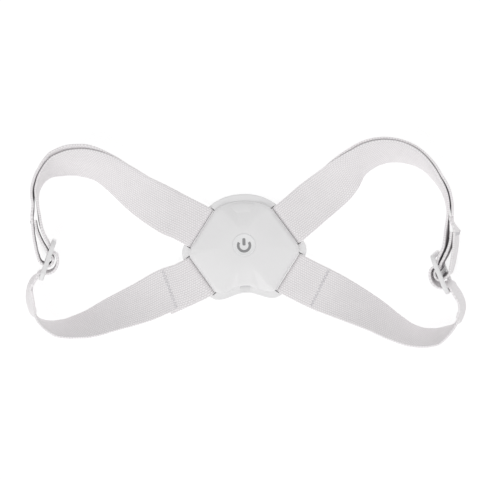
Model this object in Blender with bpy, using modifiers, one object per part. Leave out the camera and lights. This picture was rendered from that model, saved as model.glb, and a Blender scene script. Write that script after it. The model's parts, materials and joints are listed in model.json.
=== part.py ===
"""Back brace: a sensor housing with a power button, and two adjustable shoulder loops of webbing.

The brace lies face up. The origin is on the housing's back face, on the button's axis.
X runs from the left loop to the right loop, Y from the underarm straps to the shoulder straps,
and Z from the back face to the button. Sizes are in metres.
"""
import math
from collections import namedtuple

import bmesh
import bpy
from mathutils import Vector

MM = 0.001
GAP = 0.3 * MM

# Webbing
STRAP_WIDTH = 30 * MM
STRAP_THICKNESS = 1.8 * MM
ROUTE_STEP = 6 * MM
EXIT_START = 5.0
EXIT_END = 16

# Housing: corners of the raised plateau and of the rim round it, on the half with positive X
PLATEAU_TOP, RIM_TOP = (0, 31.4), (0, 36.3)
PLATEAU_TOP_PULL, RIM_TOP_PULL = (12.0, 31.4), (14.5, 36.3)
PLATEAU_UPPER = ((20.2, 25.2), (38.0, -0.9))
RIM_UPPER = ((24.2, 27.9), (42.4, 1.6))
PLATEAU_SIDE_PULL, RIM_SIDE_PULL = (40.2, -4.0), (46.0, -3.9)
PLATEAU_LOWER = ((38.6, -7.1), (21.6, -32.65))
RIM_LOWER = ((43.1, -9.6), (25.4, -36.2))
PLATEAU_LOBE, RIM_LOBE = ((16.0, -36.5), (9.0, -29.4)), ((18.0, -42.6), (10.0, -34.2))
PLATEAU_NOTCH, RIM_NOTCH = (0, -29.4), (0, -34.2)
WALL = 1.8 * MM
BACK_TOP_Z = 2.1 * MM
BAR_BOTTOM_Z = 2.4 * MM
BAR_TOP_Z = 5.4 * MM
SHOULDER_Z = 9.9 * MM
CROWN_Z = 13.2 * MM
SLOT_EDGE = 0.2 * MM
BAR_EDGE = 2.65 * MM
BAR_CHAMFER = 0.9 * MM

# Strap layers at a slot, measured outwards from the plateau's edge and up from the back face
TURN_CENTRE = 4.15 * MM
TURN_RADIUS = 2.7 * MM
TURN_Z = 3.9 * MM
# Webbing at a slot in millimetres: outwards from the plateau's edge, and up from the back face
BELOW_BAR = ((16, 3.1), (10, 2.0), (6.5, 1.35))
ABOVE_BAR = ((6.5, 6.6), (10, 6.6), (16, 6.6))
LOOSE_END = ((24, 4.0), (32, 4.4))

# Button and its switch
BUTTON_HOLE_RADIUS = 8.5 * MM
BUTTON_RADIUS = 8.15 * MM
BUTTON_FLANGE_RADIUS = 9.6 * MM
BUTTON_RIM_Z = 13.5 * MM
BUTTON_DISH_Z = 12.7 * MM
BOARD_BOTTOM_Z = 4.3 * MM
BOARD_TOP_Z = 5.3 * MM
PART_Z = BOARD_TOP_Z + GAP
SWITCH_TOP_Z = 8.2 * MM
PLUNGER_TOP_Z = 9.6 * MM
PLUNGER_RADIUS = 1.7 * MM

# Charging socket in the notch, and the screws that hold the covers together
SOCKET_SIZE = (7.6 * MM, 5.6 * MM, 2.6 * MM)
SOCKET_MOUTH_Y = -29.2 * MM
SCREW_PLACES = ((22, 14), (-22, 14), (25, -17.5), (-25, -17.5))
BOSS_RADIUS = 2.6 * MM
SCREW_RADIUS = 1.0 * MM
SCREW_HEAD_RADIUS = 2.0 * MM
SCREW_HEAD_TOP_Z = 1.1 * MM
SCREW_TOP_Z = 6.5 * MM

# Fold line of each loop beside the housing
FOLD_X = 56 * MM
FOLD_Z = 6.0 * MM
FOLD_HALF_GAP = 5.4 * MM

# Tri-glide slider
SLIDER_LENGTH = 29.5 * MM
SLIDER_WIDTH = 36.5 * MM
SLIDER_THICKNESS = 3.2 * MM
SLIDER_END_BAR = 3.25 * MM
SLIDER_MIDDLE_BAR = 4.0 * MM
SLIDER_OPENING = 31 * MM

# Webbing through the slider: millimetres along it towards the underarm, and towards the inside
SEWN_TAIL = ((-22.8, -17.0), (-18.5, -14.7), (-11.3, -8.6), (-6.6, -3.3))
SEWN_RADIUS = 3.7
SLIDER_REACH = 2.0
SEWN_MAIN = ((3.1, -3.6), (-1.2, -7.8), (-6.8, -11.4), (-12.8, -14.8), (-19.0, -17.6), (-24, -19.8))
WRAP = ((-15.8, -8.1), (-9.7, -2.2), (-6.5, 0.4), (-4.8, 4.9), (0, 7.2), (5.0, 6.6), (8.4, 3.2),
        (9.1, 0), (10.3, -2.2), (15.6, -3.4))

# Each loop: its slider's middle in millimetres, direction and lean in degrees; the angles at which
# the straps leave the slots; the shoulder station from which the layers part; and the stations.
# A station is a point on the middle of the webbing in millimetres (outwards, up, height), the angle
# by which its outer edge is turned up, and for the shoulder strap the distance to its outer layer
# and how far that layer is shifted towards the outer edge.
LOOPS = {
    "left": {
        "sign": -1,
        "slider": (138.0, -5.2, 18.8),
        "slider_direction": (0.362, -0.932),
        "slider_lean": 7.9,
        "shoulder_exit": -5.5,
        "free_station": 9,
        "underarm_exit": -10.5,
        "shoulder": (
            (51.7, 24.4, 6.6, 0, 2.9, 0.8), (72.2, 38.1, 10.3, 24, 2.9, -0.6),
            (86.9, 50.0, 13.3, 40, 2.9, -1.2), (98.9, 58.0, 14.2, 48, 2.9, -0.2),
            (110.7, 61.6, 14.2, 52, 2.9, 2.3), (120.9, 62.1, 14.6, 58, 2.9, 2.6),
            (129.9, 59.9, 15.2, 66, 2.9, 2.2), (137.5, 54.9, 15.8, 82, 2.9, 1.2),
            (142.1, 48.8, 15.9, 90, 3.2, 0.8), (144.3, 42.2, 15.9, 94, 3.7, 0.8),
            (144.1, 33.1, 16.0, 98, 4.4, 0.8), (142.7, 22.6, 17.6, 99, 0, 0)),
        "underarm": (
            (149.6, -22.0, 17.9, 104), (151.8, -33.8, 15.9, 108), (149.8, -42.3, 15.6, 106),
            (145.2, -48.1, 15.8, 92), (133.3, -53.8, 15.3, 72), (115.9, -52.8, 13.4, 56),
            (90.1, -44.0, 9.8, 34), (73.4, -38.0, 8.2, 18), (53.9, -29.6, 6.8, 3)),
    },
    "right": {
        "sign": 1,
        "slider": (138.3, -23.7, 18.8),
        "slider_direction": (0.349, -0.937),
        "slider_lean": 16.0,
        "shoulder_exit": 3.5,
        "free_station": 11,
        "underarm_exit": -4.5,
        "shoulder": (
            (49.7, 28.1, 6.6, 0, 2.9, 0), (66.5, 40.9, 9.3, 15, 3.3, -0.8),
            (77.7, 52.0, 14.2, 43, 4.1, -0.8), (82.8, 55.5, 15.2, 50, 4.2, -0.6),
            (89.4, 59.2, 15.5, 53, 4.0, -0.6), (99.4, 61.9, 15.7, 59, 3.4, -0.5),
            (110.2, 61.6, 16.1, 66, 2.9, -0.8), (120.6, 57.9, 16.3, 74, 2.9, -0.8),
            (130.0, 51.0, 16.3, 84, 2.9, -0.5), (136.9, 41.8, 16.2, 90, 2.9, 0),
            (141.8, 33.1, 16.0, 93, 3.1, 0), (144.1, 23.1, 15.9, 96, 3.4, 0),
            (143.8, 12.6, 16.3, 100, 4.2, 0), (142.6, 2.1, 17.9, 104, 0, 0)),
        "underarm": (
            (150.0, -42.8, 17.9, 106), (151.4, -51.1, 16.0, 108), (149.2, -57.8, 15.6, 106),
            (143.8, -62.8, 15.9, 91), (132.3, -69.1, 15.2, 72), (114.8, -67.4, 13.9, 60),
            (103.5, -61.4, 12.6, 50), (89.8, -52.5, 11.3, 38), (72.9, -43.0, 9.4, 22),
            (52.7, -32.6, 6.7, 1)),
    },
}

COLOURS = {
    "white_plastic": ((0.86, 0.86, 0.87), 0.32, 0.0),
    "button_plastic": ((0.80, 0.80, 0.81), 0.28, 0.0),
    "white_webbing": ((0.84, 0.83, 0.85), 0.85, 0.0),
    "circuit_green": ((0.03, 0.22, 0.10), 0.45, 0.0),
    "chip_black": ((0.02, 0.02, 0.02), 0.50, 0.0),
    "steel": ((0.62, 0.62, 0.64), 0.30, 1.0),
    "pouch_silver": ((0.70, 0.70, 0.72), 0.40, 1.0),
    "foam_grey": ((0.20, 0.20, 0.21), 0.90, 0.0),
    "lead_red": ((0.55, 0.03, 0.03), 0.50, 0.0),
    "lead_black": ((0.02, 0.02, 0.02), 0.50, 0.0),
    "led_clear": ((0.75, 0.90, 0.78), 0.15, 0.0),
}


# ---------------------------------------------------------------- scene and helpers

def clear_scene():
    for old in list(bpy.data.objects):
        bpy.data.objects.remove(old, do_unlink=True)


def new_collection(name):
    collection = bpy.data.collections.new(name)
    bpy.context.scene.collection.children.link(collection)
    return collection


def new_material(object_name, finish):
    """A Principled material of the object's own."""
    colour, roughness, metallic = COLOURS[finish]
    material = bpy.data.materials.new(object_name + "_" + finish)
    material.use_nodes = True
    shader = material.node_tree.nodes["Principled BSDF"]
    shader.inputs["Base Color"].default_value = (*colour, 1.0)
    shader.inputs["Roughness"].default_value = roughness
    shader.inputs["Metallic"].default_value = metallic
    material.diffuse_color = (*colour, 1.0)
    return material


def add_pivot(name, place, parent=None):
    """An empty on a joint's axis; it remembers where it is in the world."""
    pivot = bpy.data.objects.new(name, None)
    parent_place = Vector(parent["place"]) if parent else Vector()
    pivot.location = Vector(place) - parent_place
    pivot.parent = parent
    pivot["place"] = tuple(place)
    PARTS.objects.link(pivot)
    return pivot


def add_object(name, bm, finish, pivot=None):
    """A named part from a mesh in world coordinates, hung on its pivot."""
    bm.normal_update()
    bmesh.ops.recalc_face_normals(bm, faces=bm.faces)
    if pivot:
        bmesh.ops.translate(bm, verts=bm.verts, vec=-Vector(pivot["place"]))
    mesh = bpy.data.meshes.new(name)
    bm.to_mesh(mesh)
    bm.free()
    mesh.shade_smooth()
    mesh.set_sharp_from_angle(angle=math.radians(35))
    part = bpy.data.objects.new(name, mesh)
    part.parent = pivot
    part.data.materials.append(new_material(name, finish))
    PARTS.objects.link(part)
    return part


def add_cutter(name, bm):
    """A tool body for a Boolean modifier, left out of the model."""
    bm.normal_update()
    bmesh.ops.recalc_face_normals(bm, faces=bm.faces)
    mesh = bpy.data.meshes.new(name)
    bm.to_mesh(mesh)
    bm.free()
    cutter = bpy.data.objects.new(name, mesh)
    cutter.hide_render = True
    cutter.display_type = "WIRE"
    CUTTERS.objects.link(cutter)
    return cutter


def boolean(part, cutter, operation):
    modifier = part.modifiers.new(cutter.name, "BOOLEAN")
    modifier.operation = operation
    modifier.object = cutter


def bevel(part, width, segments=2):
    modifier = part.modifiers.new("rounded_edges", "BEVEL")
    modifier.width = width
    modifier.segments = segments
    modifier.limit_method = "ANGLE"
    modifier.angle_limit = math.radians(40)


def put_box(bm, size, centre):
    """A box with its middle at a point."""
    made = bmesh.ops.create_cube(bm, size=1.0)["verts"]
    bmesh.ops.scale(bm, verts=made, vec=Vector(size))
    bmesh.ops.translate(bm, verts=made, vec=Vector(centre))


def put_rod(bm, centre_xy, bottom_z, top_z, radius, segments=24):
    """An upright cylinder."""
    made = bmesh.ops.create_cone(bm, cap_ends=True, segments=segments, radius1=radius,
                                 radius2=radius, depth=top_z - bottom_z)["verts"]
    middle = Vector((centre_xy[0], centre_xy[1], (bottom_z + top_z) / 2))
    bmesh.ops.translate(bm, verts=made, vec=middle)


def put_loft(bm, rings, ring_of_rings=False):
    """Faces between rings of equal length, closed by caps or by the first ring again."""
    rows = [[bm.verts.new(point) for point in ring] for ring in rings]
    pairs = list(zip(rows, rows[1:]))
    if ring_of_rings:
        pairs.append((rows[-1], rows[0]))
    else:
        bm.faces.new(rows[0])
        bm.faces.new(rows[-1])
    for low, high in pairs:
        for i in range(len(low)):
            j = (i + 1) % len(low)
            bm.faces.new((low[i], low[j], high[j], high[i]))


def loft(rings, ring_of_rings=False):
    bm = bmesh.new()
    put_loft(bm, rings, ring_of_rings)
    return bm


def bezier(points, t):
    """A point on the Bezier curve that the given points pull."""
    points = [Vector(point) for point in points]
    while len(points) > 1:
        points = [a.lerp(b, t) for a, b in zip(points, points[1:])]
    return points[0]


# ---------------------------------------------------------------- housing

def outline(top, top_pull, upper, side_pull, lower, lobe, notch):
    """The closed outline of the housing at one level, from the top middle and clockwise."""
    stretches = (
        ((top, top_pull, upper[0]), 6), (upper, 2), ((upper[1], side_pull, lower[0]), 4),
        (lower, 2), ((lower[1], *lobe, notch), 8))
    half = [bezier(points, step / count) for points, count in stretches for step in range(count)]
    half.append(Vector(notch))
    mirrored = [Vector((-point.x, point.y)) for point in reversed(half[1:-1])]
    return [point * MM for point in half + mirrored]


PLATEAU = outline(PLATEAU_TOP, PLATEAU_TOP_PULL, PLATEAU_UPPER, PLATEAU_SIDE_PULL, PLATEAU_LOWER,
                  PLATEAU_LOBE, PLATEAU_NOTCH)
RIM = outline(RIM_TOP, RIM_TOP_PULL, RIM_UPPER, RIM_SIDE_PULL, RIM_LOWER, RIM_LOBE, RIM_NOTCH)


def level(points, inset, z):
    """An outline drawn in towards the middle and raised to a height."""
    return [(point - point.normalized() * inset).to_3d() + Vector((0, 0, z)) for point in points]


def dome(edge, hole_radius, hole_z, count):
    """Rings from an edge ring over the crown to the button's hole."""
    rings = []
    for step in range(1, count + 1):
        t = step / count
        ring = []
        for point in edge:
            inner = point.xy.normalized() * hole_radius
            height = point.z + (hole_z - point.z) * math.sin(t * math.pi / 2)
            ring.append(point.xy.lerp(inner, t).to_3d() + Vector((0, 0, height)))
        rings.append(ring)
    return rings


def front_cover():
    """The domed front shell with its flange, strap bars, screw bosses and charging opening."""
    outside = [
        level(RIM, 0.5 * MM, BAR_BOTTOM_Z), level(RIM, 0, BAR_BOTTOM_Z + 0.7 * MM),
        level(RIM, 0, BAR_TOP_Z - 1.0 * MM), level(RIM, 0.4 * MM, BAR_TOP_Z - 0.3 * MM),
        level(RIM, 1.2 * MM, BAR_TOP_Z), level(PLATEAU, 0, BAR_TOP_Z),
        level(PLATEAU, 0.1 * MM, 7.6 * MM), level(PLATEAU, 0.5 * MM, 8.8 * MM),
        level(PLATEAU, 1.4 * MM, 9.6 * MM), level(PLATEAU, 2.8 * MM, SHOULDER_Z + 0.2 * MM)]
    crown = dome(outside[-1], BUTTON_HOLE_RADIUS + 0.5 * MM, CROWN_Z, 6)
    hole = dome(outside[-1], BUTTON_HOLE_RADIUS, CROWN_Z - 0.4 * MM, 1)
    inner_edge = level(PLATEAU, WALL + 1.2 * MM, SHOULDER_Z - WALL)
    ceiling = dome(inner_edge, BUTTON_HOLE_RADIUS, CROWN_Z - WALL, 4)
    wall = [level(PLATEAU, WALL, 7.2 * MM), level(PLATEAU, WALL, BAR_BOTTOM_Z)]
    rings = outside + crown + hole + ceiling[::-1] + [inner_edge] + wall
    cover = add_object("front_cover", loft(rings, ring_of_rings=True), "white_plastic")
    boolean(cover, boss_bodies(), "UNION")
    boolean(cover, front_openings(), "DIFFERENCE")
    return cover


def boss_bodies():
    """Screw bosses that hang from the ceiling of the front shell."""
    bm = bmesh.new()
    for x, y in SCREW_PLACES:
        put_rod(bm, (x * MM, y * MM), BAR_BOTTOM_Z, SHOULDER_Z - 1.0 * MM, BOSS_RADIUS)
    return add_cutter("boss_bodies", bm)


def slot_frame(edge, sign):
    """Middle, outward direction and width direction of a strap slot."""
    first, last = Vector(edge[0]) * MM, Vector(edge[1]) * MM
    if edge is PLATEAU_UPPER:
        first, last = last, first
    along = (last - first).normalized()
    outward = Vector((abs(along.y), -along.x if edge is PLATEAU_UPPER else along.x))
    middle = (first + last) / 2
    flip = Vector((sign, 1, 1))
    return middle.to_3d() * flip, outward.to_3d() * flip, along.to_3d() * flip


def put_prism(bm, middle, outward, along, section, length):
    """A prism along a slot, from its section in (outwards, up)."""
    rings = []
    for end in (-0.5, 0.5):
        start = middle + along * (length * end)
        rings.append([start + outward * d + Vector((0, 0, z)) for d, z in section])
    put_loft(bm, rings)


def put_at_slots(bm, section, length):
    for sign in (-1, 1):
        for edge in (PLATEAU_UPPER, PLATEAU_LOWER):
            put_prism(bm, *slot_frame(edge, sign), section, length)


def front_openings():
    """Strap slots with eased bars, the charging opening and the screws' pilot holes."""
    bm = bmesh.new()
    flare = BAR_CHAMFER + 1.0 * MM
    section = (
        (SLOT_EDGE, BAR_BOTTOM_Z - 1.0 * MM), (BAR_EDGE + flare, BAR_BOTTOM_Z - 1.0 * MM),
        (BAR_EDGE, BAR_BOTTOM_Z + BAR_CHAMFER), (BAR_EDGE, BAR_TOP_Z - BAR_CHAMFER),
        (BAR_EDGE + flare, BAR_TOP_Z + 1.0 * MM), (SLOT_EDGE, BAR_TOP_Z + 1.0 * MM))
    put_at_slots(bm, section, STRAP_WIDTH + 0.8 * MM)
    put_box(bm, (SOCKET_SIZE[0] + 2 * GAP, 8 * MM, SOCKET_SIZE[2] + 2 * GAP),
            (0, SOCKET_MOUTH_Y, PART_Z + SOCKET_SIZE[2] / 2))
    for x, y in SCREW_PLACES:
        put_rod(bm, (x * MM, y * MM), BAR_BOTTOM_Z - 1.0 * MM, SCREW_TOP_Z + GAP, SCREW_RADIUS + GAP)
    return add_cutter("front_openings", bm)


def back_cover():
    """The back plate with a locating lip, open where the straps leave the slots."""
    lip_top = BOARD_BOTTOM_Z - GAP - 0.2 * MM
    rings = [
        level(RIM, 0.9 * MM, 0), level(RIM, 0.3 * MM, 0.5 * MM), level(RIM, 0.3 * MM, BACK_TOP_Z),
        level(PLATEAU, WALL + 0.5 * MM, BACK_TOP_Z), level(PLATEAU, WALL + 0.5 * MM, lip_top),
        level(PLATEAU, WALL + 1.5 * MM, lip_top), level(PLATEAU, WALL + 1.5 * MM, BACK_TOP_Z - GAP)]
    cover = add_object("back_cover", loft(rings), "white_plastic")
    boolean(cover, board_posts(), "UNION")
    boolean(cover, back_openings(), "DIFFERENCE")
    boolean(cover, screw_holes(), "DIFFERENCE")
    boolean(cover, boss_room(), "DIFFERENCE")
    return cover


def board_posts():
    """Posts under the circuit board."""
    bm = bmesh.new()
    for x, y in ((12, 5), (-12, 5), (13, -22), (-13, -22)):
        put_rod(bm, (x * MM, y * MM), 1.0 * MM, BOARD_BOTTOM_Z - GAP, 1.5 * MM, segments=16)
    return add_cutter("board_posts", bm)


def back_openings():
    """Strap exits and counterbores for the screw heads."""
    bm = bmesh.new()
    section = ((SLOT_EDGE, -1 * MM), (9 * MM, -1 * MM), (9 * MM, 3 * MM), (SLOT_EDGE, 3 * MM))
    put_at_slots(bm, section, STRAP_WIDTH + 0.8 * MM)
    put_at_screws(bm, -1 * MM, SCREW_HEAD_TOP_Z + GAP, SCREW_HEAD_RADIUS + GAP)
    return add_cutter("back_openings", bm)


def screw_holes():
    bm = bmesh.new()
    put_at_screws(bm, 0.4 * MM, BACK_TOP_Z + 1 * MM, SCREW_RADIUS + GAP)
    return add_cutter("screw_holes", bm)


def boss_room():
    """Gaps in the locating lip round the front shell's bosses."""
    bm = bmesh.new()
    put_at_screws(bm, BACK_TOP_Z - 0.05 * MM, 8 * MM, BOSS_RADIUS + GAP)
    return add_cutter("boss_room", bm)


def put_at_screws(bm, bottom_z, top_z, radius):
    for x, y in SCREW_PLACES:
        put_rod(bm, (x * MM, y * MM), bottom_z, top_z, radius)


def cover_screws():
    """Four screws: a flat head in the back plate and a shank up into each boss."""
    profile = ((SCREW_HEAD_RADIUS, 0.2 * MM), (SCREW_HEAD_RADIUS, SCREW_HEAD_TOP_Z),
               (SCREW_RADIUS, SCREW_HEAD_TOP_Z), (SCREW_RADIUS, SCREW_TOP_Z))
    turns = [2 * math.pi * step / 16 for step in range(16)]
    for number, (x, y) in enumerate(SCREW_PLACES, start=1):
        rings = [
            [Vector((x * MM + radius * math.cos(turn), y * MM + radius * math.sin(turn), z))
             for turn in turns] for radius, z in profile]
        add_object(f"cover_screw_{number}", loft(rings), "steel")


# ---------------------------------------------------------------- button and electronics

def turned(name, profile, finish, pivot=None, steps=32):
    """A turned part from its profile in millimetres, from the axis on top to the axis below."""
    bm = bmesh.new()
    points = [bm.verts.new((radius * MM, 0, z * MM)) for radius, z in profile]
    for a, b in zip(points, points[1:]):
        bm.edges.new((a, b))
    part = add_object(name, bm, finish, pivot)
    screw = part.modifiers.new("turned", "SCREW")
    screw.axis = "Z"
    screw.angle = 2 * math.pi
    screw.steps = steps
    screw.render_steps = steps
    screw.use_merge_vertices = True
    screw.merge_threshold = 0.001 * MM
    return part


def button_parts():
    pivot = add_pivot("button_axis", (0, 0, BUTTON_DISH_Z))
    rim, dish = BUTTON_RIM_Z / MM, BUTTON_DISH_Z / MM
    edge, flange = BUTTON_RADIUS / MM, BUTTON_FLANGE_RADIUS / MM
    profile = (
        (0, dish), (2.4, dish + 0.05), (4.6, dish + 0.25), (6.2, dish + 0.55), (7.1, rim - 0.05),
        (7.5, rim), (7.9, rim - 0.1), (edge, rim - 0.5), (edge, 10.9), (flange, 10.9), (flange, 10.2),
        (7.0, 10.2), (7.0, 11.4), (2.0, 11.4), (2.0, PLUNGER_TOP_Z / MM + 0.3),
        (0, PLUNGER_TOP_Z / MM + 0.3))
    turned("button_cap", profile, "button_plastic", pivot)
    plunger = PLUNGER_RADIUS / MM
    turned("switch_plunger", ((0, 9.6), (plunger - 0.3, 9.6), (plunger, 9.3), (plunger, 7.4), (0, 7.4)),
           "chip_black", pivot, steps=24)


def switch_body():
    """The tact switch, with a bore for its plunger."""
    bm = bmesh.new()
    put_box(bm, (6 * MM, 6 * MM, SWITCH_TOP_Z - PART_Z), (0, 0, (SWITCH_TOP_Z + PART_Z) / 2))
    body = add_object("switch_body", bm, "chip_black")
    bore = bmesh.new()
    put_rod(bore, (0, 0), 6.4 * MM, SWITCH_TOP_Z + 1 * MM, PLUNGER_RADIUS + GAP)
    boolean(body, add_cutter("plunger_bore", bore), "DIFFERENCE")


def flat_part(name, half_outline, bottom_z, top_z, finish):
    """A flat symmetric part from half of its outline in millimetres."""
    points = list(half_outline) + [(-x, y) for x, y in reversed(half_outline)]
    rings = [[Vector((x * MM, y * MM, z)) for x, y in points] for z in (bottom_z, top_z)]
    return add_object(name, loft(rings), finish)


def box_part(name, size, centre, finish, rounding=0.3):
    bm = bmesh.new()
    put_box(bm, Vector(size) * MM, Vector(centre) * MM)
    part = add_object(name, bm, finish)
    bevel(part, rounding * MM)
    return part


def rod_part(name, centre_xy, bottom_z, top_z, radius, finish):
    bm = bmesh.new()
    put_rod(bm, Vector(centre_xy) * MM, bottom_z * MM, top_z * MM, radius * MM, segments=32)
    part = add_object(name, bm, finish)
    bevel(part, 0.2 * MM, 1)
    return part


def wire(name, route, radius, finish):
    """A round lead through points in millimetres."""
    curve = bpy.data.curves.new(name, "CURVE")
    curve.dimensions = "3D"
    curve.bevel_depth = radius * MM
    curve.bevel_resolution = 2
    curve.use_fill_caps = True
    spline = curve.splines.new("POLY")
    spline.points.add(len(route) - 1)
    for point, place in zip(spline.points, route):
        point.co = (*(Vector(place) * MM), 1)
    curve.materials.append(new_material(name, finish))
    PARTS.objects.link(bpy.data.objects.new(name, curve))


def electronics():
    board_outline = ((17, 8), (17, -2.5), (30, -2.5), (30, -8), (20.5, -13), (17, -26.5))
    flat_part("circuit_board", board_outline, BOARD_BOTTOM_Z, BOARD_TOP_Z, "circuit_green")
    base = PART_Z / MM
    switch_body()
    box_part("microcontroller", (7, 7, 1.0), (-9, -11, base + 0.5), "chip_black", 0.1)
    box_part("motion_sensor", (3, 3, 0.9), (9, -9, base + 0.45), "chip_black", 0.1)
    box_part("status_led", (1.8, 1.4, 0.8), (5.2, 4.2, base + 0.4), "led_clear", 0.1)
    small_components(base)
    socket_length = SOCKET_SIZE[1] / MM
    box_part("charging_socket", Vector(SOCKET_SIZE) / MM,
             (0, SOCKET_MOUTH_Y / MM + socket_length / 2, base + SOCKET_SIZE[2] / MM / 2), "steel", 0.5)
    box_part("battery", (29, 15, 3.8), (0, 17.8, 5.1), "pouch_silver", 0.8)
    box_part("battery_pad", (27, 13, 0.5), (0, 17.8, 2.65), "foam_grey", 0.1)
    rod_part("vibration_motor", (-24, 3.5), 3.2, 6.2, 5.0, "steel")
    rod_part("motor_pad", (-24, 3.5), 2.4, 2.9, 4.6, "foam_grey")
    for colour, x in (("red", -7.0), ("black", -9.0)):
        route = [(x, 10.0, 5.6), (x, 9.6, 6.0), (x, 9.0, 6.5), (x, 8.0, 6.8), (x, 7.0, 6.8),
                 (x, 6.2, 6.4), (x, 6.0, base + 0.1)]
        wire(f"battery_lead_{colour}", route, 0.35, f"lead_{colour}")
    for colour, y in (("red", 2.0), ("black", 4.0)):
        route = [(-18.7, y, 5.6), (-18.2, y, 6.2), (-17.4, y, 6.5), (-16.4, y, 6.5),
                 (-15.6, y, 6.2), (-15.4, y, base + 0.1)]
        wire(f"motor_lead_{colour}", route, 0.3, f"lead_{colour}")


def small_components(base):
    """Resistors and capacitors beside the chips."""
    places = ((-15, -5), (14, -5), (-15, -7.5), (14, -7.5), (-2, -17), (3, -17))
    for number, (x, y) in enumerate(places, start=1):
        box_part(f"chip_component_{number}", (1.6, 0.9, 0.6), (x, y, base + 0.3), "chip_black", 0.05)


# ---------------------------------------------------------------- webbing

Control = namedtuple("Control", "name place width gap shift", defaults=(0, 0))


def webbing_route(loop):
    """Controls of one loop's webbing, all the way from its sewn tail to its loose end.

    It runs from the sewn tail through the slider, over the arch as the outer layer, round the
    bar of the upper slot, back as the inner layer, through the slider again, and along the
    underarm to the lower slot, where its end comes back on the underside.
    """
    sign = loop["sign"]
    turns = [(SEWN_RADIUS * math.cos(a), SEWN_RADIUS * math.sin(a))
             for a in (math.radians(180 - 30 * step) for step in range(7))]
    route = slider_controls(loop, SEWN_TAIL + tuple(turns) + SEWN_MAIN, last_name="seam")
    slot = slot_frame(PLATEAU_UPPER, sign)
    shoulder = strap_controls(loop, loop["shoulder"], slot, 1)
    inner, marks = smooth_frames(shoulder)
    last_outer = marks["outer_last"]
    names = {number: name for name, number in marks.items()}
    for number in range(last_outer, -1, -1):
        place, width, heading, gap, shift = inner[number]
        normal = heading.cross(width) * sign
        name = {"inner_free": "outer_free", "inner_arch": "outer_arch"}.get(names.get(number))
        route.append(Control(name, place - normal * gap + width * shift, width))
    leave = loop["shoulder_exit"]
    route += slot_controls(slot, BELOW_BAR, leave, "outer_root")
    route += turn_controls(slot, 1)
    route += slot_controls(slot, ABOVE_BAR, leave, "inner_root")
    for number, (place, width, *_) in enumerate(inner):
        name = names.get(number)
        route.append(Control(name if name in ("inner_free", "inner_arch") else None, place, width))
    route += slider_controls(loop, WRAP, first_name="wrap_start", last_name="wrap_end")
    slot = slot_frame(PLATEAU_LOWER, sign)
    route += strap_controls(loop, loop["underarm"], slot, -1)
    leave = loop["underarm_exit"]
    route += slot_controls(slot, ABOVE_BAR[::-1], leave, "under_root")
    route += turn_controls(slot, -1)
    route += slot_controls(slot, BELOW_BAR[::-1] + LOOSE_END, leave)
    route[-1] = route[-1]._replace(name="tail_end")
    return route


def slider_axes(loop):
    """Directions of a slider: along it, towards the loop's inside, and across the webbing."""
    sign = loop["sign"]
    x, y = loop["slider_direction"]
    lean = math.radians(loop["slider_lean"])
    down = Vector((sign * x, y, 0)).normalized()
    level_inward = Vector((-sign * abs(y), -x, 0)).normalized()
    up = Vector((0, 0, 1))
    across = up * math.cos(lean) + level_inward * math.sin(lean)
    inward = level_inward * math.cos(lean) - up * math.sin(lean)
    return down, inward, across


def slider_centre(loop):
    x, y, z = loop["slider"]
    return Vector((loop["sign"] * x, y, z)) * MM


def slider_controls(loop, points, first_name=None, last_name=None):
    """Controls for points given in the slider's own directions, kept level away from its plate."""
    down, inward, across = slider_axes(loop)
    slide = math.tan(math.radians(loop["slider_lean"]))
    controls = []
    for u, v in points:
        beyond = v - max(-SLIDER_REACH, min(SLIDER_REACH, v))
        place = slider_centre(loop) + (down * u + inward * v + across * beyond * slide) * MM
        controls.append(Control(None, place, across))
    controls[0] = controls[0]._replace(name=first_name)
    if last_name:
        controls[-1] = controls[-1]._replace(name=last_name)
    return controls


def strap_controls(loop, stations, slot, turn):
    """Controls at a strap's stations.

    turn is 1 for the shoulder strap, listed away from its slot, and -1 for the underarm strap,
    listed towards its slot.
    """
    sign = loop["sign"]
    places = [Vector((sign * station[0], station[1], station[2])) * MM for station in stations]
    root = exit_place(slot, EXIT_END, loop["shoulder_exit" if turn > 0 else "underarm_exit"])
    path = [root] + places if turn > 0 else places + [root]
    offset = 1 if turn > 0 else 0
    controls = []
    for number, (place, station) in enumerate(zip(places, stations)):
        here = number + offset
        ahead = path[min(here + 1, len(path) - 1)]
        behind = path[max(here - 1, 0)]
        heading = (ahead - behind).to_2d().normalized()
        outer = Vector((-heading.y, heading.x, 0)) * sign
        roll = math.radians(station[3])
        width = outer * math.cos(roll) + Vector((0, 0, math.sin(roll)))
        layer = [value * MM for value in station[4:]]
        controls.append(Control(None, place, width, *layer))
    if turn > 0:
        marks = {"inner_arch": 1, "inner_free": loop["free_station"], "outer_last": len(stations) - 2}
    else:
        marks = {"under_free": 2, "under_arch": len(stations) - 2}
    for name, number in marks.items():
        controls[number] = controls[number]._replace(name=name)
    return controls


def slot_controls(slot, points, exit_angle=0, middle_name=None):
    """Controls for points given outwards from a slot's edge and up from the back face.

    The webbing leaves at an angle to the slot's own outward direction.
    """
    along = slot[2]
    controls = [Control(None, exit_place(slot, d, exit_angle) + Vector((0, 0, z * MM)), along)
                for d, z in points]
    if middle_name:
        controls[1] = controls[1]._replace(name=middle_name)
    return controls


def exit_place(slot, distance, exit_angle):
    """A point outwards from a slot, on a line that leaves it at an angle."""
    middle, outward, along = slot
    drift = math.tan(math.radians(exit_angle)) * max(0, distance - EXIT_START)
    return middle + (outward * distance + along * drift) * MM


def turn_controls(slot, way):
    """Controls round a slot's bar, upwards (1) or downwards (-1)."""
    points = []
    for step in range(7):
        angle = math.radians(270 - 30 * step)
        points.append((
            (TURN_CENTRE + TURN_RADIUS * math.cos(angle)) / MM,
            (TURN_Z + TURN_RADIUS * math.sin(angle)) / MM))
    return slot_controls(slot, points[::way])


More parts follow.
